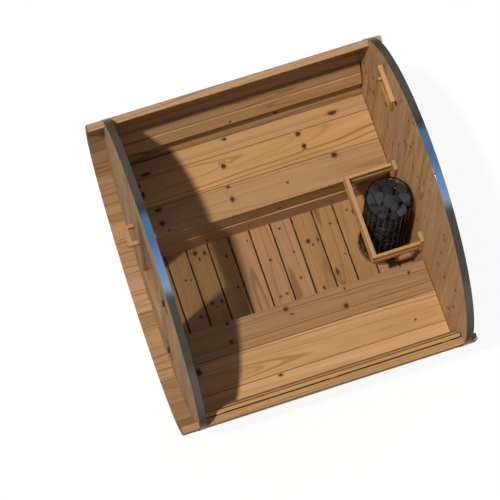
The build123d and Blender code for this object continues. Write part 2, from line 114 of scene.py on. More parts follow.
# Boards whose tone is chosen: how light, how golden (0 is pinkish), how strong the growth lines are.
# The boards of a node count from -X, or from -Y where they lie across the barrel. The tones of the
# boards after those are drawn.
TONES = {
    "bench_right_boards": ((0.66, 0.6, 0.8), (1.03, 0.5, 0.75), (1.16, 0.35, 0.25)),
    "bench_left_boards": ((0.95, 0.5, 0.5), (1.0, 0.85, 0.8), (0.82, 0.4, 0.45)),
    # The first four floor boards, along the front wall, hold painted light as well as their own tone: all
    # are painted golden for the greenish sun through the door's glass, and the fourth is painted lighter
    # where the header's shadow falls on it
    "floor_boards": ((0.98, 1.0, 0.3), (0.98, 1.0, 0.35), (0.98, 1.0, 0.4), (1.22, 1.0, 0.4)),
}

# Knots whose place is chosen, in millimetres: X, Y, size along the grain, size across it
BENCH_RIGHT_KNOTS = (
    (323, -436, 24, 21), (336, 301, 12, 14), (347, -75, 30, 27), (361, 700, 16, 20),
    (387, -48, 24, 10), (440, 276, 28, 38), (436, -448, 20, 24), (553, -690, 36, 42),
    (722, -233, 28, 18), (650, 640, 14, 12),
)
BENCH_LEFT_KNOTS = (
    (-798, -88, 30, 21), (-754, 594, 60, 28), (-729, -613, 60, 22), (-689, 349, 32, 32),
    (-666, -673, 14, 26), (-633, -148, 30, 34), (-608, -666, 22, 38), (-602, 361, 28, 36),
    (-487, -608, 46, 30), (-489, 519, 38, 34), (-496, -163, 26, 16), (-412, -162, 28, 34),
    (-398, -612, 38, 36), (-410, 190, 15, 15), (-344, -585, 12, 18),
)
FLOOR_KNOTS = (
    (-125, -559, 14, 15), (127, -544, 24, 20), (-116, -528, 13, 8), (-273, -453, 34, 30),
    (65, -450, 26, 24), (-228, -437, 20, 12), (95, -431, 12, 10), (219, -405, 28, 26),
    (-258, -397, 24, 22), (74, -390, 30, 18), (-196, -274, 18, 16), (18, -268, 15, 14),
    (156, -38, 15, 20), (245, -34, 32, 28), (-85, -24, 18, 17), (151, 5, 17, 16),
    (-262, 94, 14, 18), (81, 120, 22, 12), (-90, 132, 20, 12), (-130, 238, 28, 25),
    (188, 236, 24, 18), (-99, 258, 16, 12), (-121, 298, 34, 16), (118, 346, 42, 20),
    (232, 352, 18, 12), (-196, 404, 14, 15), (-248, 531, 16, 12), (-225, 565, 26, 18),
    (60, 590, 18, 14), (-60, -700, 26, 18), (250, -620, 24, 20), (-250, -120, 12, 10),
    (20, 430, 12, 10),
)
KNOTS = {
    "bench_right_boards": BENCH_RIGHT_KNOTS,
    "bench_left_boards": BENCH_LEFT_KNOTS,
    "floor_boards": FLOOR_KNOTS,
}
# How light the walls' boards are, and how many knots grow in them. The front wall's boards are painted
# darker than the back wall's: painted shade for its outer face, which the light only grazes.
FRONT_WALL_SHADED_GRAIN = {"light": (0.66, 0.76), "knots_per_metre": 2.6, "knot_mm": (16, 40)}
BACK_WALL_GRAIN = {"light": (0.95, 1.05), "knots_per_metre": 5.2, "knot_mm": (12, 32)}
# Each knot is a thin disc just above its board, each at a slightly different height
KNOT_LIFT = 0.12 * MM
KNOT_STEP_SHARE = 0.3
KNOT_STEPS = 4
KNOT_OFF_FACE_SHARE = 1.5
KNOT_MARGIN = 3 * MM
KNOT_REACH = 1.3
KNOT_UNEVEN = (0.86, 1.14)
KNOT_ALONG_SHARES = (-0.97, 0.97)
KNOT_ACROSS_SHARES = (-0.85, 0.85)
KNOT_WIDTH_SHARES = (0.5, 1.0)
KNOT_SEGMENTS = 16
# A disc's rings after its middle: share of its reach, and nearness to the knot's core
KNOT_RINGS = ((0.28, 0.82), (0.46, 0.58), (0.7, 0.3), (1.0, 0.0))

# What is drawn for each board: its start along the log, where the log's heart lies beside the board's
# middle and off its face, how far the heart runs out of line, the log's taper, and then how golden the
# board is and how strong its growth lines are
LOG_START = (0, 9)
HEART_SIDE_SHARES = (-0.8, 0.8)
HEART_DEPTH = (0.025, 0.09)
HEART_SKEW = (-0.02, 0.02)
LOG_TAPER = (0.008, 0.03)
BOARD_GOLD = (0.05, 0.95)
BOARD_FIGURE = (0.35, 0.9)

# Camera, fitted to the photograph's frame
CAMERA_PLACE = Vector((4.0619, -1.5537, 14.4147))
CAMERA_AIM = Vector((-0.0848, -0.1573, 0.6157))
CAMERA_ROLL = radians(0.3286)
CAMERA_LENS = 172.5
CAMERA_REACH = 100
SENSOR = 36.0

# Light
SUN_HEADING = Vector((-0.14, 0.318, -0.938))
SUN_STRENGTH = 2.9
SUN_ANGLE = radians(2.2)
SURROUND_STRENGTH = 0.27
FLOOR_HALF_SIZE = 300.0
FLOOR_GLOW = 0.92
CARD_HEIGHT = 9.0
CARD_HALF_SIZE = 300.0
CARD_COLOUR_REACH = 8.0
CARD_STRENGTH = 7.0
# What the hoops mirror overhead, across the card in metres: dull grey at both ends, and an open blue
# sky between two dark edges
CARD_COLOURS = (
    (-8.0, "#605e5c"), (-5.4, "#605e5c"), (-4.3, "#272d22"), (-3.7, "#272d22"), (-3.2, "#5c8ecb"),
    (-2.2, "#5c8cc8"), (-0.6, "#5876ad"), (1.9, "#76a6ee"), (3.3, "#7cb1fb"), (4.4, "#bcd1e7"),
    (5.1, "#273438"), (5.8, "#273438"), (6.5, "#575758"),
)


def linear(hex_colour):
    """A colour given as sRGB hex, as linear red, green, blue and alpha."""
    def channel(start):
        value = int(hex_colour[start:start + 2], 16) / 255
        return value / 12.92 if value <= 0.04045 else ((value + 0.055) / 1.055) ** 2.4
    return (channel(1), channel(3), channel(5), 1.0)


def add(tree, kind, settings, inputs, output=0):
    """Adds a node, sets its properties, sets or links its inputs, and returns one of its outputs."""
    node = tree.nodes.new(kind)
    for name, value in settings.items():
        setattr(node, name, value)
    for key, value in inputs.items():
        if isinstance(value, bpy.types.NodeSocket):
            tree.links.new(value, node.inputs[key])
        else:
            node.inputs[key].default_value = value
    return node.outputs[output]


def shader(name):
    """A new material, its node tree and its main shader."""
    material = bpy.data.materials.new(name)
    material.use_nodes = True
    tree = material.node_tree
    return material, tree, tree.nodes["Principled BSDF"]


# Materials

# How fast each kind of variation changes per metre along, across and through a board, and its detail
WOOD_NOISE = (
    ("fibre", (2.6, 120, 120), 3.0), ("cloud", (1.3, 9, 9), 2.0), ("wander", (0.9, 5, 5), 2.0),
    ("ragged", (70, 110, 110), 2.0), ("streak", (0.5, 34, 34), 1.0),
)
# How far the growth lines wander and bend round a knot, and how high the grain stands
RING_WANDER = 60 * MM
KNOT_BEND = 10 * MM
GRAIN_RELIEF = 0.6 * MM
# Rolling lines round a hoop, coarser than the real ones, per metre in X, Y and Z
ROLLED_PER_METRE = (14, 900, 14)
# How much smoother and rougher worn metal gets
WEAR_SHARES = (0.8, 1.25)
STONE_GRIT = 9 * MM
STONE_RELIEF = 1.5 * MM


def softwood(name, early, late, ring_mm, streaks=(0.95, 1.04)):
    """Planed, heat-treated softwood.

    The eye sees pale tan early wood with faint darker growth lines, drawn into arches where a board
    was cut across the log's taper, long fibre streaks, and dark knots that the lines flow round.
    The growth lines are drawn coarser than in the real wood, which the render could not show.
    Each board carries its own place in a log, so no two are alike.
    """
    material, tree, surface = shader(name)
    log = add(tree, "ShaderNodeAttribute", {"attribute_name": "log"}, {}, "Vector")
    tone = add(tree, "ShaderNodeAttribute", {"attribute_name": "tone"}, {}, "Vector")
    knot = add(tree, "ShaderNodeAttribute", {"attribute_name": "knot"}, {}, "Fac")
    end_grain = add(tree, "ShaderNodeAttribute", {"attribute_name": "end_grain"}, {}, "Fac")
    light, gold, figure = add(tree, "ShaderNodeSeparateXYZ", {}, {0: tone}).node.outputs
    noise = {}
    for key, per_metre, detail in WOOD_NOISE:
        place = add(tree, "ShaderNodeVectorMath", {"operation": "MULTIPLY"}, {0: log, 1: per_metre})
        noise[key] = add(tree, "ShaderNodeTexNoise", {},
                         {"Vector": place, "Scale": 1.0, "Detail": detail}, "Fac")

    # Growth lines about the log's heart, at uneven distances, bent round the knots
    across = add(tree, "ShaderNodeVectorMath", {"operation": "MULTIPLY"}, {0: log, 1: (0, 1, 1)})
    radius = add(tree, "ShaderNodeVectorMath", {"operation": "LENGTH"}, {0: across}, "Value")
    for bend, reach in ((noise["wander"], RING_WANDER), (knot, KNOT_BEND)):
        radius = add(tree, "ShaderNodeMath", {"operation": "MULTIPLY_ADD"}, {0: bend, 1: reach, 2: radius})
    ring = add(tree, "ShaderNodeTexNoise", {"noise_dimensions": "1D"},
               {"W": radius, "Scale": 1 / (ring_mm * MM), "Detail": 2.0}, "Fac")
    lines = add(tree, "ShaderNodeMapRange", {"interpolation_type": "SMOOTHSTEP"},
                {"Value": ring, "From Min": 0.5, "From Max": 0.68})
    lines = add(tree, "ShaderNodeMath", {"operation": "MULTIPLY"}, {0: lines, 1: figure})

    # Colour
    colour = add(tree, "ShaderNodeMix", {"data_type": "RGBA"},
                 {0: lines, 6: linear(early), 7: linear(late)}, 2)
    cloud = add(tree, "ShaderNodeMapRange", {"interpolation_type": "SMOOTHSTEP"},
                {"Value": noise["cloud"], "From Min": 0.45, "From Max": 0.75, "To Max": 0.25})
    colour = add(tree, "ShaderNodeMix", {"data_type": "RGBA"}, {0: cloud, 6: colour, 7: linear(late)}, 2)
    tint = add(tree, "ShaderNodeMix", {"data_type": "RGBA"},
               {0: gold, 6: (1.02, 0.97, 1.04, 1), 7: (1.03, 0.99, 0.8, 1)}, 2)
    colour = add(tree, "ShaderNodeMix", {"data_type": "RGBA", "blend_type": "MULTIPLY"},
                 {0: 1.0, 6: colour, 7: tint}, 2)
    shade = add(tree, "ShaderNodeMapRange", {}, {
        "Value": noise["fibre"], "From Min": 0.3, "From Max": 0.7, "To Min": 0.93, "To Max": 1.05})
    streak = add(tree, "ShaderNodeMapRange", {}, {
        "Value": noise["streak"], "From Min": 0.3, "From Max": 0.7,
        "To Min": streaks[0], "To Max": streaks[1]})
    dulled = add(tree, "ShaderNodeMapRange", {}, {"Value": end_grain, "To Min": 1.0, "To Max": 0.8})
    for factor in (streak, dulled, light):
        shade = add(tree, "ShaderNodeMath", {"operation": "MULTIPLY"}, {0: shade, 1: factor})
    grey = add(tree, "ShaderNodeCombineColor", {}, {0: shade, 1: shade, 2: shade})
    colour = add(tree, "ShaderNodeMix", {"data_type": "RGBA", "blend_type": "MULTIPLY"},
                 {0: 1.0, 6: colour, 7: grey}, 2)

    # Knots: a dark core with a ragged edge in a browner ring
    halo = add(tree, "ShaderNodeMapRange", {"interpolation_type": "SMOOTHSTEP"},
               {"Value": knot, "From Min": 0.2, "From Max": 0.8, "To Max": 0.55})
    colour = add(tree, "ShaderNodeMix", {"data_type": "RGBA"},
                 {0: halo, 6: colour, 7: linear("#80563a")}, 2)
    ragged = add(tree, "ShaderNodeMath", {"operation": "MULTIPLY_ADD"},
                 {0: noise["ragged"], 1: 0.5, 2: knot})
    core = add(tree, "ShaderNodeMapRange", {"interpolation_type": "SMOOTHSTEP"},
               {"Value": ragged, "From Min": 0.84, "From Max": 1.12})
    colour = add(tree, "ShaderNodeMix", {"data_type": "RGBA"},
                 {0: core, 6: colour, 7: linear("#4b3226")}, 2)
    tree.links.new(colour, surface.inputs["Base Color"])

    # Sheen and relief
    surface.inputs["Roughness"].default_value = 0.6
    surface.inputs["Specular IOR Level"].default_value = 0.02
    height = add(tree, "ShaderNodeMath", {"operation": "MULTIPLY_ADD"},
                 {0: lines, 1: 0.4, 2: noise["fibre"]})
    bump = add(tree, "ShaderNodeBump", {}, {"Height": height, "Strength": 0.2, "Distance": GRAIN_RELIEF})
    tree.links.new(bump, surface.inputs["Normal"])
    return material


def hoop_steel():
    """Rolled stainless strip, dulled outdoors: a dark metal that mirrors broad patches of light softly."""
    material, tree, surface = shader("hoop_stainless_strip")
    where = add(tree, "ShaderNodeTexCoord", {}, {}, "Object")
    rolled = add(tree, "ShaderNodeVectorMath", {"operation": "MULTIPLY"}, {0: where, 1: ROLLED_PER_METRE})
    lines = add(tree, "ShaderNodeTexNoise", {}, {"Vector": rolled, "Scale": 1.0, "Detail": 2.0}, "Fac")
    rough = add(tree, "ShaderNodeMapRange", {}, {"Value": lines, "To Min": 0.14, "To Max": 0.26})
    tint = add(tree, "ShaderNodeMix", {"data_type": "RGBA"}, {
        0: lines, 6: linear("#524f49"), 7: linear("#5c5952")}, 2)
    tree.links.new(rough, surface.inputs["Roughness"])
    tree.links.new(tint, surface.inputs["Base Color"])
    surface.inputs["Metallic"].default_value = 1.0
    surface.inputs["Specular Tint"].default_value = linear("#aaa8a2")
    return material


def metal(name, dark, bright, roughness, grain_mm):
    """Plain metal with fine cloudy wear: brighter where it is rubbed and duller between."""
    material, tree, surface = shader(name)
    where = add(tree, "ShaderNodeTexCoord", {}, {}, "Object")
    cloud = add(tree, "ShaderNodeTexNoise", {}, {
        "Vector": where, "Scale": 1 / (grain_mm * MM), "Detail": 4.0}, "Fac")
    tint = add(tree, "ShaderNodeMix", {"data_type": "RGBA"},
               {0: cloud, 6: linear(dark), 7: linear(bright)}, 2)
    rough = add(tree, "ShaderNodeMapRange", {}, {
        "Value": cloud, "To Min": roughness * WEAR_SHARES[0], "To Max": roughness * WEAR_SHARES[1]})
    tree.links.new(tint, surface.inputs["Base Color"])
    tree.links.new(rough, surface.inputs["Roughness"])
    surface.inputs["Metallic"].default_value = 1.0
    return material


def heater_stone():
    """Broken peridotite: matt charcoal grey, each stone a little lighter or darker, with a gritty face."""
    material, tree, surface = shader("heater_peridotite")
    tone = add(tree, "ShaderNodeAttribute", {"attribute_name": "tone"}, {}, "Fac")
    where = add(tree, "ShaderNodeTexCoord", {}, {}, "Object")
    grit = add(tree, "ShaderNodeTexNoise", {},
               {"Vector": where, "Scale": 1 / STONE_GRIT, "Detail": 6.0}, "Fac")
    each = add(tree, "ShaderNodeMix", {"data_type": "RGBA"}, {
        0: tone, 6: linear("#222223"), 7: linear("#3e3e40")}, 2)
    bump = add(tree, "ShaderNodeBump", {}, {"Height": grit, "Strength": 0.4, "Distance": STONE_RELIEF})
    tree.links.new(each, surface.inputs["Base Color"])
    tree.links.new(bump, surface.inputs["Normal"])
    surface.inputs["Roughness"].default_value = 0.85
    surface.inputs["Specular IOR Level"].default_value = 0.1
    return material


def pane_glass():
    """Clear toughened float glass: see-through face on, a mirror at a low angle, and it lets sun in."""
    material, _, surface = shader("door_float_glass")
    surface.inputs["Base Color"].default_value = linear("#e4ece8")
    surface.inputs["Transmission Weight"].default_value = 1.0
    surface.inputs["Alpha"].default_value = 0.32
    surface.inputs["Roughness"].default_value = 0.02
    surface.inputs["IOR"].default_value = 1.52
    return material


# Pieces

def merged_copy(node):
    """The node's shape with its corners joined and its flat faces whole."""
    shape = bmesh.new()
    shape.from_mesh(frame["nodes"][node].data)
    bmesh.ops.remove_doubles(shape, verts=shape.verts, dist=WELD)
    bmesh.ops.dissolve_limit(shape, angle_limit=FLAT_ANGLE, verts=shape.verts, edges=shape.edges)
    return shape


def ease(shape, width):
    """Takes the sharp edges off, as a planer and sandpaper do."""
    sharp = [e for e in shape.edges if len(e.link_faces) == 2 and e.calc_face_angle() > SHARP_ANGLE]
    bmesh.ops.bevel(shape, geom=sharp, offset=width, segments=2, profile=0.5, affect="EDGES",
                    material=-1, clamp_overlap=True)


def islands(shape):
    """Groups of corners that belong to one solid each."""
    left = set(shape.verts)
    while left:
        group = {left.pop()}
        front = list(group)
        while front:
            corner = front.pop()
            for edge in corner.link_edges:
                other = edge.other_vert(corner)
                if other in left:
                    left.remove(other)
                    group.add(other)
                    front.append(other)
        yield group


def middle_of(group):
    """The middle of a group of corners' box."""
    low = Vector(min(v.co[i] for v in group) for i in range(3))
    high = Vector(max(v.co[i] for v in group) for i in range(3))
    return (low + high) / 2


def board_axes(group, along):
    """A board's directions along the grain, across its wide face and out of that face."""
    faces = {f for v in group for f in v.link_faces}
    for face in faces:
        face.normal_update()
    spans = [max(v.co[i] for v in group) - min(v.co[i] for v in group) for i in range(3)]
    grain = WORLD_AXES[along if along is not None else spans.index(max(spans))]
    sides = [f for f in faces if abs(f.normal.dot(grain)) < SIDE_COSINE]
    widest = max(sides, key=lambda f: (round(f.calc_area(), 7), tuple(round(c, 4) for c in f.normal)))
    deep = (widest.normal - widest.normal.dot(grain) * grain).normalized()
    return grain, grain.cross(deep), deep


def chosen_knots(node, middle, axes, half):
    """The knots in the table that lie on this board, as run, cross, side, length and width."""
    grain, wide, deep = axes
    found = []
    for x, y, length, width in KNOTS.get(node, ()):
        place = Vector((x * MM, y * MM, middle.z)) - middle
        run, cross = place.dot(grain), place.dot(wide)
        if abs(run) < half[0] and abs(cross) < half[1]:
            found.append((run, cross, 1 if deep.z > 0 else -1, length * MM, width * MM))
    return found


def grown_knots(draw, half, per_metre, knot_mm):
    """Knots at random places on both wide faces of a board."""
    found = []
    for _ in range(int(2 * half[0] * per_metre + draw.random())):
        length = draw.uniform(*knot_mm) * MM
        run = draw.uniform(*KNOT_ALONG_SHARES) * half[0]
        cross = draw.uniform(*KNOT_ACROSS_SHARES) * half[1]
        facing = draw.choice((-1, 1))
        found.append((run, cross, facing, length, length * draw.uniform(*KNOT_WIDTH_SHARES)))
    return found


def disc_places(draw, middle, axes, half, row, rise):
    """The corners of a knot's disc, ring by ring from its middle, kept within the board's face."""
    grain, wide, deep = axes
    run, cross, facing, length, width = row
    lift = facing * (half[2] + rise) * deep
    room = (half[0] - KNOT_MARGIN, half[1] - KNOT_MARGIN)
    uneven = [draw.uniform(*KNOT_UNEVEN) for _ in range(KNOT_SEGMENTS)]
    places = [[middle + run * grain + cross * wide + lift]]
    for share, _ in KNOT_RINGS:
        places.append([])
        for step in range(KNOT_SEGMENTS):
            turn = tau * step / KNOT_SEGMENTS
            out = share * KNOT_REACH * uneven[step]
            u = min(max(run + out * length * cos(turn), -room[0]), room[0])
            v = min(max(cross + out * width * sin(turn), -room[1]), room[1])
            places[-1].append(middle + u * grain + v * wide + lift)
    return places


def skin_disc(shape, rings, facing):
    """Joins a disc's rings of corners by faces that look out of the board."""
    for inner, outer in zip(rings, rings[1:]):
        for step in range(KNOT_SEGMENTS):
            after = (step + 1) % KNOT_SEGMENTS
            if len(inner) == 1:
                corners = (inner[0], outer[step], outer[after])
            else:
                corners = (inner[step], outer[step], outer[after], inner[after])
            shape.faces.new(corners[::-1] if facing > 0 else corners)


def lay_grain(shape, node, along=None, knots_per_metre=1.6, knot_mm=(12, 30), light=(0.93, 1.05)):
    """Gives each board its place in a log, its tone, its knots and its end grain.

    The grain runs along the board's longest side unless it is named. The log's heart lies off the
    board's wide face, a little out of line with it, which draws the growth lines into arches.
    """
    draw = random.Random(node)
    log = shape.verts.layers.float_vector.new("log")
    tone = shape.verts.layers.float_vector.new("tone")
    knot = shape.verts.layers.float.new("knot")
    end_grain = shape.faces.layers.float.new("end_grain")
    faces_here = BVHTree.FromBMesh(shape)
    boards = sorted(islands(shape), key=lambda g: tuple(round(c, 4) for c in middle_of(g)))
    for index, group in enumerate(boards):
        axes = board_axes(group, along)
        grain, wide, deep = axes
        ends = [(min(v.co.dot(a) for v in group), max(v.co.dot(a) for v in group)) for a in axes]
        middle = sum(((low + high) / 2 * a for (low, high), a in zip(ends, axes)), Vector())
        half = [(high - low) / 2 for low, high in ends]
        start = draw.uniform(*LOG_START)
        side = draw.uniform(*HEART_SIDE_SHARES) * half[1]
        depth = draw.choice((-1, 1)) * draw.uniform(*HEART_DEPTH)
        skew = draw.uniform(*HEART_SKEW)
        taper = draw.choice((-1, 1)) * draw.uniform(*LOG_TAPER)
        grown = (draw.uniform(*light), draw.uniform(*BOARD_GOLD), draw.uniform(*BOARD_FIGURE))
        chosen = TONES.get(node, ())
        board_tone = chosen[index] if index < len(chosen) else grown

        def dress(corner, nearness):
            """Writes a corner's place in the log, its board's tone and its nearness to a knot."""
            place = corner.co - middle
            run = place.dot(grain)
            corner[log] = (start + run, place.dot(wide) + side + skew * run,
                           place.dot(deep) + depth + taper * run)
            corner[tone] = board_tone
            corner[knot] = nearness

        for corner in group:
            dress(corner, 0.0)
        for face in {f for v in group for f in v.link_faces}:
            face[end_grain] = 1.0 if abs(face.normal.dot(grain)) > END_COSINE else 0.0
        if node in KNOTS:
            knots = chosen_knots(node, middle, axes, half)
        else:
            knots = grown_knots(draw, half, knots_per_metre, knot_mm)
        for number, row in enumerate(knots):
            rise = KNOT_LIFT * (1 + KNOT_STEP_SHARE * (number % KNOT_STEPS))
            places = disc_places(draw, middle, axes, half, row, rise)
            gaps = [faces_here.find_nearest(place)[3] for place in places[-1]]
            if max(gaps) > KNOT_OFF_FACE_SHARE * rise:
                continue
            rings = [[shape.verts.new(place) for place in ring] for ring in places]
            for ring, nearness in zip(rings, (1.0, *(nearness for _, nearness in KNOT_RINGS))):
                for corner in ring:
                    dress(corner, nearness)
            skin_disc(shape, rings, row[2])


def settle(shape, name, material, node, smooth=False, stands_for_node=True):
    """Makes a shape a piece that rides with its node's body, and stands for the node or is added to it."""
    mesh = bpy.data.meshes.new(name)
    for face in shape.faces:
        face.smooth = smooth
    shape.to_mesh(mesh)
    shape.free()
    mesh.materials.append(material)
    piece = bpy.data.objects.new(name, mesh)
    bpy.context.scene.collection.objects.link(piece)
    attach(piece, BODY_OF[node])
    if stands_for_node:
        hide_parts(node)


def timber(node, material):
    """A node's boards with eased edges and grain of their own."""
    shape = merged_copy(node)
    ease(shape, EASED_EDGE)
    lay_grain(shape, node)
    settle(shape, node + "_timber", material, node)


def stave_set(node, material):
    """A node's staves, with their long corners taken off so that each joint shows as a fine groove."""
    shape = merged_copy(node)
    low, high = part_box("front_hoop")
    axis = (low + high) / 2
    corners = []
    for edge in shape.edges:
        run = abs(edge.verts[1].co.y - edge.verts[0].co.y)
        out = edge.verts[0].co - axis
        out.y = 0
        out.normalize()
        on_face = any(abs(face.normal.dot(out)) > OUTWARD_COSINE for face in edge.link_faces)
        if run > LONG_CORNER and on_face and edge.calc_face_angle(0) > SHARP_ANGLE:
            corners.append(edge)
    bmesh.ops.bevel(shape, geom=corners, offset=STAVE_CHAMFER, segments=2, profile=0.5, affect="EDGES",
                    material=-1, clamp_overlap=False)
    lay_grain(shape, node, along=1, light=STAVE_LIGHT)
    settle(shape, node + "_timber", material, node)


def boarded_wall(node, material, pitch, **grain):
    """A wall's panel as upright boards with small grooves at their joints."""
    low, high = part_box(node)
    cuts = [low.x]
    step = ceil(low.x / pitch - 0.5)
    while (step + 0.5) * pitch < high.x - NARROWEST_BOARD:
        if (step + 0.5) * pitch > low.x + NARROWEST_BOARD:
            cuts.append((step + 0.5) * pitch)
        step += 1
    cuts.append(high.x)
    wall = bmesh.new()
    for left, right in zip(cuts, cuts[1:]):
        board = merged_copy(node)
        for place, facing in ((left + BOARD_JOINT / 2, -1), (right - BOARD_JOINT / 2, 1)):
            geometry = board.verts[:] + board.edges[:] + board.faces[:]
            bmesh.ops.bisect_plane(board, geom=geometry, plane_co=(place, 0, 0), plane_no=(facing, 0, 0),
                                   clear_outer=True)
            rim = [e for e in board.edges if e.is_boundary]
            bmesh.ops.holes_fill(board, edges=rim)
        ease(board, BOARD_CHAMFER)
        mesh = bpy.data.meshes.new("board")
        board.to_mesh(mesh)
        board.free()
        wall.from_mesh(mesh)
        bpy.data.meshes.remove(mesh)
    bmesh.ops.recalc_face_normals(wall, faces=wall.faces)
    lay_grain(wall, node, along=2, **grain)
    settle(wall, node + "_boards", material, node)


def round_hoop(node, material):
    """A hoop as one spun strip with rolled edges."""
    low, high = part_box(node)
    axis = (low + high) / 2
    outer = min(high.x - low.x, high.z - low.z) / 2
    inner = outer - HOOP_THICKNESS
    shape = bmesh.new()
    corners = [shape.verts.new((axis.x, y, axis.z + r)) for y, r in (
        (low.y, inner), (low.y, outer), (high.y, outer), (high.y, inner))]
    strip = shape.faces.new(corners)
    bmesh.ops.bevel(shape, geom=strip.verts[:], offset=HOOP_EDGE, segments=3, profile=0.5,
                    affect="VERTICES", material=-1)
    profile = shape.edges[:]
    bmesh.ops.delete(shape, geom=shape.faces[:], context="FACES_ONLY")
    bmesh.ops.spin(shape, geom=profile, cent=axis, axis=(0, 1, 0), angle=tau, steps=HOOP_STEPS,
                   use_merge=True)
    bmesh.ops.remove_doubles(shape, verts=shape.verts, dist=WELD)
    bmesh.ops.recalc_face_normals(shape, faces=shape.faces)
    for edge in shape.edges:
        edge.smooth = edge.calc_face_angle() < CREASE_ANGLE
    settle(shape, node + "_strip", material, node, smooth=True)


def hinge_screws(node, material):
    """Dished screw heads, two in each leaf of a node's hinges."""
    leaves = merged_copy(node)
    heads = bmesh.new()
    for group in sorted(islands(leaves), key=lambda g: tuple(round(c, 4) for c in middle_of(g))):
        fronts = [f for f in {f for v in group for f in v.link_faces} if f.normal.y < -FRONT_COSINE]
        plate = max(fronts, key=lambda f: f.calc_area())
        low = Vector(min(v.co[i] for v in plate.verts) for i in range(3))
        high = Vector(max(v.co[i] for v in plate.verts) for i in range(3))
        for share in SCREW_PLACE_SHARES:
            place = Vector(((low.x + high.x) / 2, low.y - SCREW_RISE / 2, low.z + share * (high.z - low.z)))
            facing = Matrix.Translation(place) @ Matrix.Rotation(pi / 2, 4, "X")
            made = bmesh.ops.create_cone(heads, cap_ends=True, segments=SCREW_SIDES, radius1=SCREW_HEAD,
                                         radius2=SCREW_TOP_SHARE * SCREW_HEAD, depth=SCREW_RISE,
                                         matrix=facing)["verts"]
            top = min({f for v in made for f in v.link_faces}, key=lambda f: f.calc_center_median().y)
            bmesh.ops.inset_region(heads, faces=[top], thickness=SCREW_RIM_SHARE * SCREW_HEAD)
            bmesh.ops.translate(heads, verts=top.verts, vec=(0, SCREW_DISH_SHARE * SCREW_RISE, 0))
    leaves.free()
    bmesh.ops.recalc_face_normals(heads, faces=heads.faces)
    settle(heads, node.replace("leaves", "screws"), material, node, stands_for_node=False)


# The materials in use
# Planed bench boards: warm light tan with clear growth lines
bench_pine = softwood("bench_heat_treated_pine", "#b9966e", "#916d42", 12)
# Trodden floor boards: a browner, duller tan
floor_pine = softwood("floor_heat_treated_pine", "#a2805e", "#7c5d3f", 13)
# Outer planks: a dull tan between the benches and the floor
stave_pine = softwood("stave_heat_treated_pine", "#ae8e6c", "#82613e", 14)
# Wall boards: the palest, with strong streaks up the wall
wall_pine = softwood("wall_heat_treated_pine", "#c8a37a", "#9c7854", 15, streaks=(0.87, 1.09))
# Laths of the guard and the vent: warm and light
trim_pine = softwood("trim_heat_treated_pine", "#be9a70", "#946f48", 14)
# Thick door frame: a deeper tan with wide growth lines
door_pine = softwood("door_heat_treated_pine", "#ab8760", "#83613d", 16)
hoop_metal = hoop_steel()
# Wire that heat has browned: dull gold, with lighter patches
cage_wire = metal("cage_heat_browned_wire", "#44331b", "#8a6a3a", 0.5, 30)
# Blackened wire: nearly black, with a soft shine
rim_wire = metal("rim_blackened_wire", "#101010", "#1e1e20", 0.6, 30)
# Plate that heat has browned: matt tan
plate_metal = metal("heater_plate_heat_browned_steel", "#7d5a2e", "#977043", 0.8, 60)
# Bronzed hinges: dark brown and dull, and screws that a driver has rubbed lighter
hinge_metal = metal("hinge_bronzed_steel", "#3a2d20", "#574631", 0.6, 20)
screw_metal = metal("screw_bronzed_steel", "#5a4a38", "#77654d", 0.5, 12)
stone = heater_stone()
glass = pane_glass()

# Staves, walls and hoops
for node in ("staves_even", "staves_odd"):
    stave_set(node, stave_pine)
board_pitch = 2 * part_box("front_wall_top")[1].x / BOARDS_OVER_DOOR
for node in sorted(frame["nodes"]):
    if "_wall_" in node and SLOT_OF[node] == "wall_wood":
        # The front wall's darker boards are painted shade
        grain = FRONT_WALL_SHADED_GRAIN if node.startswith("front") else BACK_WALL_GRAIN
        boarded_wall(node, wall_pine, board_pitch, **grain)
for node in ("front_hoop", "back_hoop"):
    round_hoop(node, hoop_metal)

# Joinery that keeps its shape and gets eased edges and grain
PINE_OF = {"bench_wood": bench_pine, "floor_wood": floor_pine, "cradle_wood": stave_pine,
           "door_wood": door_pine, "guard_wood": trim_pine, "vent_wood": trim_pine}
for node, slot in sorted(SLOT_OF.items()):
    if slot in PINE_OF:
        timber(node, PINE_OF[slot])

# Screws, added to the hinges
for node in ("door_hinge_leaves", "wall_hinge_leaves"):
    hinge_screws(node, screw_metal)

# Metal and glass that keep their shape
for node, finish in (("door_glass", glass), ("door_hinge_leaves", hinge_metal),
                     ("wall_hinge_leaves", hinge_metal), ("heater_base_plate", plate_metal)):
    frame["nodes"][node].data.materials.clear()
    frame["nodes"][node].data.materials.append(finish)


# Heater

def bar_ring(shape, middle, radius):
    """A round bar bent to a ring."""
    start = Matrix.Translation((middle.x + radius, middle.y, middle.z)) @ Matrix.Rotation(pi / 2, 4, "X")
    made = bmesh.ops.create_circle(shape, segments=WIRE_SIDES, radius=CAGE_BAR / 2, matrix=start)
    edges = list({e for v in made["verts"] for e in v.link_edges})
    bmesh.ops.spin(shape, geom=edges, cent=middle, axis=(0, 0, 1), angle=tau, steps=RING_STEPS,
                   use_merge=True)


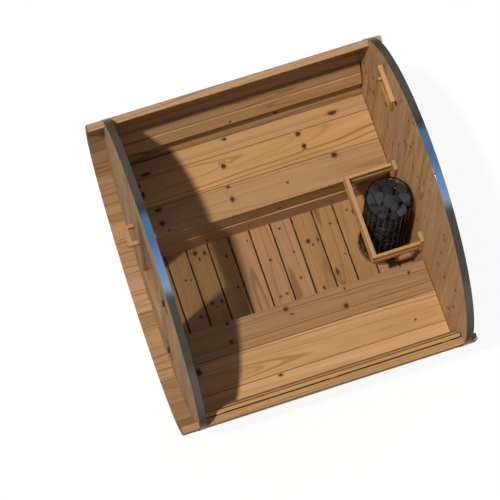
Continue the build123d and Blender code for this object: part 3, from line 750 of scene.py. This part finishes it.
def cage():
    """Browned round rods outside blackened round rings, with a wider ring as a rim at the top."""
    low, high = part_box("heater_cage")
    middle = (low + high) / 2
    outer = (high.x - low.x) / 2
    rods = bmesh.new()
    for step in range(CAGE_RODS):
        turn = tau * step / CAGE_RODS
        out = outer - CAGE_BAR / 2
        place = Vector((middle.x + out * cos(turn), middle.y + out * sin(turn), middle.z))
        bmesh.ops.create_cone(rods, cap_ends=True, segments=WIRE_SIDES, radius1=CAGE_BAR / 2,
                              radius2=CAGE_BAR / 2, depth=high.z - low.z, matrix=Matrix.Translation(place))
    rings = bmesh.new()
    for level in range(CAGE_RINGS):
        rise = low.z + CAGE_BAR / 2 + level * (high.z - low.z - CAGE_BAR) / (CAGE_RINGS - 1)
        bar_ring(rings, Vector((middle.x, middle.y, rise)), outer - RING_INSET_SHARE * CAGE_BAR)
    bar_ring(rings, Vector((middle.x, middle.y, high.z - CAGE_BAR / 2)), outer - CAGE_BAR / 2)
    for shape, name, wire in ((rods, "heater_cage_rods", cage_wire),
                              (rings, "heater_cage_rings", rim_wire)):
        bmesh.ops.remove_doubles(shape, verts=shape.verts, dist=WELD)
        bmesh.ops.recalc_face_normals(shape, faces=shape.faces)
        settle(shape, name, wire, "heater_cage", smooth=True)


def one_stone(heap, layer, draw, place, size, flat_top):
    """A broken stone: a ball with flats knocked off it, squashed and turned."""
    made = bmesh.ops.create_icosphere(heap, subdivisions=3, radius=1.0)["verts"]
    cuts = [(Vector([draw.gauss(0, spread) for spread in STONE_FLAT_SPREAD]).normalized(),
             draw.uniform(*STONE_FLAT_SHARES)) for _ in range(STONE_FLATS)]
    if flat_top:
        lean = [draw.uniform(-TOP_LEAN, TOP_LEAN) for _ in range(2)]
        cuts.append((Vector((*lean, 1)).normalized(), draw.uniform(*TOP_FLAT_SHARES)))
    for facing, limit in cuts:
        for corner in made:
            past = corner.co.dot(facing) - limit
            if past > 0:
                corner.co -= past * facing
    stretch = Matrix.Diagonal([draw.uniform(*limits) for limits in STONE_STRETCH] + [1])
    turn = Matrix.Rotation(draw.uniform(0, tau), 4, "Z")
    bmesh.ops.transform(heap, matrix=Matrix.Translation(place) @ turn @ stretch @ Matrix.Scale(size, 4),
                        verts=made)
    shade = draw.random()
    for corner in made:
        corner[layer] = (shade, shade, shade)


def stones():
    """Stones stacked inside the cage, and a close layer of tilted, flat-topped ones over them."""
    low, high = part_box("heater_stones")
    middle = (low + high) / 2
    reach = (high.x - low.x) / 2
    draw = random.Random(STONE_SEED)
    heap = bmesh.new()
    layer = heap.verts.layers.float_vector.new("tone")
    rows = int((high.z - low.z) / STONE_ROW) - 1
    for level in range(rows):
        rise = low.z + STONE_ROW * (level + STONE_ROW_START_SHARE)
        for step in range(STONES_PER_ROW):
            stray = draw.uniform(-STONE_STRAY, STONE_STRAY)
            turn = tau * (step + 0.5 * (level % 2) + stray) / STONES_PER_ROW
            size = draw.uniform(*STONE_MM) * MM
            out = reach - size * STONE_INSET_SHARE
            place = Vector((middle.x + out * cos(turn), middle.y + out * sin(turn), rise))
            one_stone(heap, layer, draw, place, size, False)
    for share, count, lead in TOP_RINGS:
        out = share * reach
        for step in range(count):
            turn = tau * (step + lead + draw.uniform(-TOP_STRAY, TOP_STRAY)) / count
            size = draw.uniform(*TOP_STONE_MM) * MM
            rise = high.z - size / 2 - draw.uniform(*TOP_DROP_MM) * MM
            place = Vector((middle.x + out * cos(turn), middle.y + out * sin(turn), rise))
            one_stone(heap, layer, draw, place, size, True)
    for corner in heap.verts:
        gone = (corner.co - middle).to_2d()
        if gone.length > reach:
            gone *= reach / gone.length
            corner.co.x, corner.co.y = middle.x + gone.x, middle.y + gone.y
        corner.co.z = min(max(corner.co.z, low.z), high.z)
    settle(heap, "heater_stone_heap", stone, "heater_stones")


cage()
stones()


# Stage: pale floor, key light, soft surround, and a card overhead that only the shiny pieces mirror

def sheet(name, half_size, height, paint):
    """A level square sheet that belongs to the stage."""
    shape = bmesh.new()
    bmesh.ops.create_grid(shape, x_segments=1, y_segments=1, size=half_size,
                          matrix=Matrix.Translation((0, 0, height)))
    mesh = bpy.data.meshes.new(name)
    shape.to_mesh(mesh)
    shape.free()
    mesh.materials.append(paint)
    piece = bpy.data.objects.new(name, mesh)
    bpy.context.scene.collection.objects.link(piece)
    return piece


floor_paint, _, floor_surface = shader("studio_floor_paint")
floor_surface.inputs["Base Color"].default_value = linear("#505050")
floor_surface.inputs["Roughness"].default_value = 1.0
floor_surface.inputs["Specular IOR Level"].default_value = 0.0
floor_surface.inputs["Emission Color"].default_value = linear("#ffffff")
floor_surface.inputs["Emission Strength"].default_value = FLOOR_GLOW
studio_floor = sheet("studio_floor", FLOOR_HALF_SIZE, 0.0, floor_paint)
studio_floor.visible_diffuse = False

card_paint, card_tree, card_surface = shader("studio_card_light")
card_place = add(card_tree, "ShaderNodeSeparateXYZ", {},
                 {0: add(card_tree, "ShaderNodeTexCoord", {}, {}, "Object")}, "X")
card_share = add(card_tree, "ShaderNodeMapRange", {}, {
    "Value": card_place, "From Min": -CARD_COLOUR_REACH, "From Max": CARD_COLOUR_REACH})
card_ramp = add(card_tree, "ShaderNodeValToRGB", {}, {"Fac": card_share})
stops = card_ramp.node.color_ramp.elements
stops.remove(stops[1])
for number, (place, colour) in enumerate(CARD_COLOURS):
    share = (place + CARD_COLOUR_REACH) / (2 * CARD_COLOUR_REACH)
    stop = stops[0] if number == 0 else stops.new(share)
    stop.position = share
    stop.color = linear(colour)
card_tree.links.new(card_ramp, card_surface.inputs["Emission Color"])
card_surface.inputs["Emission Strength"].default_value = CARD_STRENGTH
card_surface.inputs["Base Color"].default_value = linear("#000000")
card_surface.inputs["Specular IOR Level"].default_value = 0.0
studio_card = sheet("studio_card", CARD_HALF_SIZE, CARD_HEIGHT, card_paint)
studio_card.visible_camera = False
studio_card.visible_diffuse = False
studio_card.visible_transmission = False
studio_card.visible_shadow = False

sun_data = bpy.data.lights.new("key_light", "SUN")
sun_data.energy = SUN_STRENGTH
sun_data.angle = SUN_ANGLE
sun_data.color = linear("#fff6ea")[:3]
sun = bpy.data.objects.new("key_light", sun_data)
sun.rotation_euler = SUN_HEADING.to_track_quat("-Z", "Y").to_euler()
bpy.context.scene.collection.objects.link(sun)

world = bpy.data.worlds.new("studio_surround")
world.use_nodes = True
world.node_tree.nodes["Background"].inputs[0].default_value = linear("#f4f6fa")
world.node_tree.nodes["Background"].inputs[1].default_value = SURROUND_STRENGTH
bpy.context.scene.world = world

# Camera
camera_data = bpy.data.cameras.new("camera")
camera_data.lens = CAMERA_LENS
camera_data.sensor_width = SENSOR
camera_data.clip_end = CAMERA_REACH
camera = bpy.data.objects.new("camera", camera_data)
bpy.context.scene.collection.objects.link(camera)
ahead = (CAMERA_AIM - CAMERA_PLACE).normalized()
level_right = ahead.cross(WORLD_AXES[2]).normalized()
level_up = level_right.cross(ahead)
right = cos(CAMERA_ROLL) * level_right + sin(CAMERA_ROLL) * level_up
up = cos(CAMERA_ROLL) * level_up - sin(CAMERA_ROLL) * level_right
camera.matrix_world = Matrix.Translation(CAMERA_PLACE) @ Matrix((right, up, -ahead)).transposed().to_4x4()
bpy.context.scene.camera = camera
bpy.context.scene.view_settings.view_transform = "Standard"
